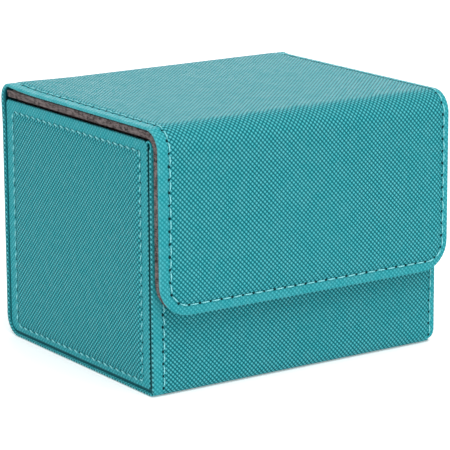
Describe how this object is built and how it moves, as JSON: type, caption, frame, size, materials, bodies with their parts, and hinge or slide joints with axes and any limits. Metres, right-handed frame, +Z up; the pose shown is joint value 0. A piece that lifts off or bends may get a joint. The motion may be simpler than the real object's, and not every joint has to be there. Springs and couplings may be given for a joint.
{
  "type": "card deck box",
  "caption": "Leatherette box for a deck of sleeved cards, with a hinged lid whose front flap folds down over the front wall and is held there by hidden magnets.",
  "frame": {"origin": "middle of the box's outline on the table, with the lid and flap closed", "axes": "+X to the right along the width as seen from the front, +Y from the front flap to the back wall, +Z up"},
  "size_m": [0.1072, 0.0924, 0.0815],
  "materials": {
    "leatherette": "teal PU leather with an embossed diagonal cross-hatch, semi-matt",
    "microfibre": "brushed grey microfibre",
    "board": "grey chipboard",
    "thread": "light teal twisted polyester thread",
    "magnet": "nickel-plated disc"
  },
  "bodies": {
    "body": {"bottom_board": "board", "front_board": "board", "back_board": "board", "left_side_board": "board", "right_side_board": "board", "bottom_skin": "leatherette", "front_skin": "leatherette", "back_skin": "leatherette", "left_side_skin": "leatherette", "right_side_skin": "leatherette", "bottom_lining": "microfibre", "front_lining": "microfibre", "back_lining": "microfibre", "left_side_lining": "microfibre", "right_side_lining": "microfibre", "front_magnet_left": "magnet", "front_magnet_right": "magnet", "left_side_thread": "thread", "right_side_thread": "thread", "front_thread_left": "thread", "front_thread_right": "thread", "back_thread_left": "thread", "back_thread_right": "thread", "hinge_skin": "leatherette", "hinge_lining": "microfibre", "hinge_thread_left": "thread", "hinge_thread_right": "thread"},
    "lid": {"lid_board": "board", "lid_skin": "leatherette", "lid_lining": "microfibre", "lid_thread_left": "thread", "lid_thread_right": "thread", "fold_skin": "leatherette", "fold_lining": "microfibre", "fold_thread_left": "thread", "fold_thread_right": "thread"},
    "flap": {"flap_board": "board", "flap_skin": "leatherette", "flap_lining": "microfibre", "flap_thread": "thread", "flap_magnet_left": "magnet", "flap_magnet_right": "magnet"}
  },
  "joints": [
    {"name": "lid_hinge", "type": "hinge", "parent": "body", "child": "lid", "pos_m": [0, 0.04513, 0.08043], "axis": [-1, 0, 0], "range_deg": [0, 180], "deforming": ["hinge_skin", "hinge_lining", "hinge_thread_left", "hinge_thread_right"]},
    {"name": "flap_fold", "type": "hinge", "parent": "lid", "child": "flap", "pos_m": [0, -0.0447, 0.08], "axis": [-1, 0, 0], "range_deg": [0, 90], "deforming": ["fold_skin", "fold_lining", "fold_thread_left", "fold_thread_right"]}
  ]
}
